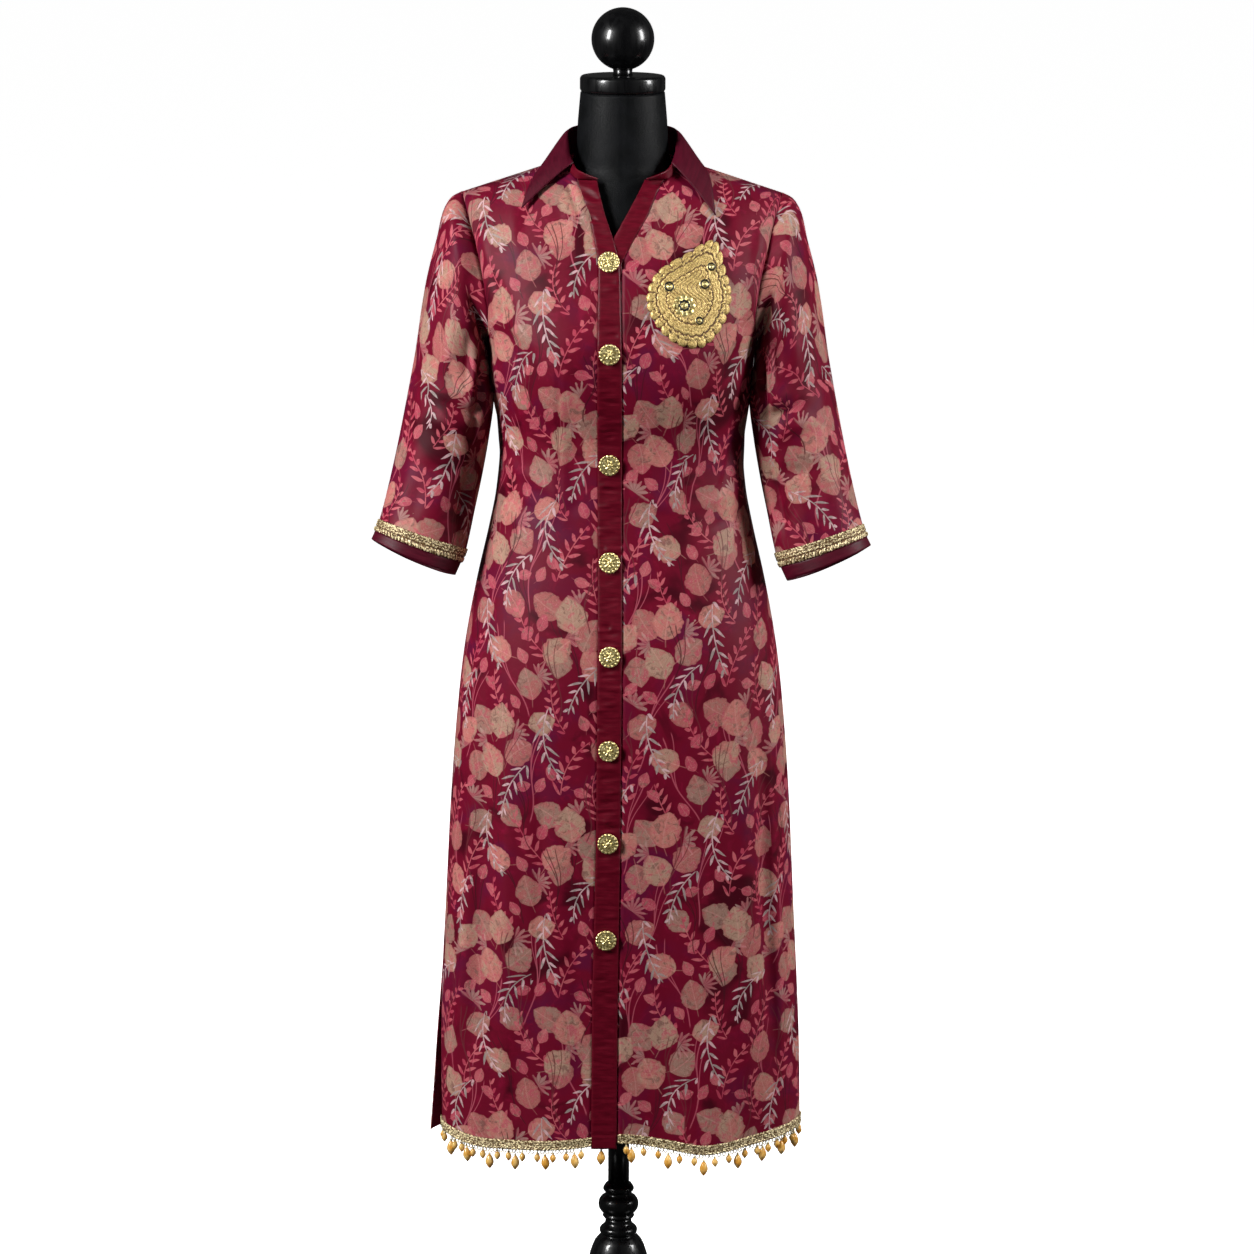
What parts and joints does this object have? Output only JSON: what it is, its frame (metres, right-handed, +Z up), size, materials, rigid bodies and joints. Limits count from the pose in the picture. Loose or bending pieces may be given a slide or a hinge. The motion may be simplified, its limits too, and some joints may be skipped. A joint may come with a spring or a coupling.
{
  "type": "long shirt on a limbless dress form and stand",
  "caption": "Long printed button-through shirt with turned-down collar, wide elbow-length sleeves and a beaded hem, worn by a plain dress form on a turned stand.",
  "frame": {"origin": "centre of the stand's underside, on the floor", "axes": "+Z up, +X to the wearer's left, the garment's front faces -Y"},
  "size_m": [0.554, 0.42, 1.5743],
  "materials": {
    "printed_cloth": "matt printed cloth",
    "satin": "soft satin sheen",
    "gold_braid": "woven metallic thread",
    "embroidery": "stitched metallic thread",
    "beads": "glossy amber",
    "button": "pale gold, polished",
    "form_cover": "fine grained, soft sheen",
    "black_tube": "gloss",
    "black_lacquer": "gloss lacquer"
  },
  "bodies": {
    "root": {"front_right": "printed_cloth", "hem_braid_right": "gold_braid", "fringe_right": "beads", "front_left": "printed_cloth", "hem_braid_left": "gold_braid", "fringe_left": "beads", "back": "printed_cloth", "placket_over": "satin", "placket_under": "satin", "sleeve_right": "printed_cloth", "cuff_braid_right": "gold_braid", "cuff_right": "satin", "sleeve_left": "printed_cloth", "cuff_braid_left": "gold_braid", "cuff_left": "satin", "collar_stand": "satin", "collar": "satin", "patch": "embroidery", "button_1": "button", "button_2": "button", "button_3": "button", "button_4": "button", "button_5": "button", "button_6": "button", "button_7": "button", "button_8": "button", "form_torso": "form_cover", "neck_cap": "black_lacquer", "finial_stem": "black_lacquer", "finial_ball": "black_lacquer", "pole": "black_tube", "knob": "black_lacquer", "column": "black_lacquer", "base": "black_lacquer"}
  },
  "joints": []
}
